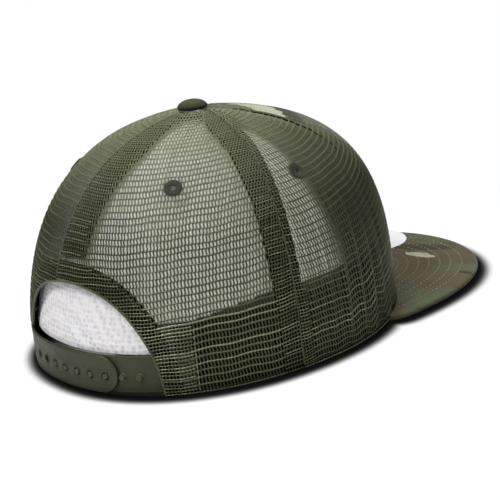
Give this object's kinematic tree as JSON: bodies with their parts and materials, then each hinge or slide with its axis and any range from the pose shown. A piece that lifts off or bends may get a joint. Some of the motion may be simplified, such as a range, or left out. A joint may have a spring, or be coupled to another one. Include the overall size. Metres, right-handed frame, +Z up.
{
  "type": "trucker mesh cap",
  "caption": "Trucker cap with a camouflage twill front and flat visor, open olive mesh sides and back, covered button, and a peg-and-hole strap across a rear arch.",
  "frame": {"origin": "centre of the head opening, in the plane of the hem, which is also the plane the cap rests on", "axes": "+Z up through the crown, -Y towards the visor's tip, +X towards the wearer's left; the cap is symmetric about the YZ plane except for its straps, label and sticker"},
  "size_m": [0.1746, 0.267, 0.1209],
  "materials": {
    "camo_twill": "woven cotton twill printed with a brown, green, dark olive and sand camouflage",
    "mesh": "open knitted polyester netting, olive, slight sheen on the threads",
    "buckram": "stiff white open-weave lining",
    "seam_tape": "dark olive twill tape",
    "sweatband": "dark olive cotton twill band",
    "label": "blank woven satin label",
    "thread": "olive sewing thread",
    "button_fabric": "olive twill stretched over the button",
    "button_metal": "pressed, bare",
    "board": "stiff polyethylene sheet, matt",
    "sticker": "blank round satin sticker",
    "strap": "moulded flexible plastic, satin"
  },
  "bodies": {
    "crown": {"front_panel_left": "camo_twill", "front_panel_right": "camo_twill", "side_panel_left": "mesh", "side_panel_right": "mesh", "back_panel_left": "mesh", "back_panel_right": "mesh", "buckram_left": "buckram", "buckram_right": "buckram", "seam_tape_front": "seam_tape", "seam_tape_front_left": "seam_tape", "seam_tape_front_right": "seam_tape", "seam_tape_side_left": "seam_tape", "seam_tape_side_right": "seam_tape", "seam_tape_back": "seam_tape", "arch_binding": "seam_tape", "sweatband": "sweatband", "inner_label": "label", "eyelets": "thread", "button_cover": "button_fabric", "button_shell": "button_metal", "button_rivet": "button_metal", "visor_board": "board", "visor_top_cover": "camo_twill", "visor_bottom_cover": "camo_twill", "visor_stitching": "thread", "visor_sticker": "sticker", "hole_strap_tail": "strap", "peg_strap_tail": "strap", "strap_stitching": "thread"},
    "hole_strap": {"hole_strap": "strap"},
    "peg_strap": {"peg_strap": "strap"}
  },
  "joints": [
    {"name": "hole_strap_swing", "type": "hinge", "parent": "crown", "child": "hole_strap", "pos_m": [0.054, 0.0776, 0.0103], "axis": [0, 0, -1], "range_deg": [0, 70]},
    {"name": "peg_strap_swing", "type": "hinge", "parent": "crown", "child": "peg_strap", "pos_m": [-0.054, 0.0776, 0.0103], "axis": [0, 0, -1], "range_deg": [0, 25]}
  ]
}
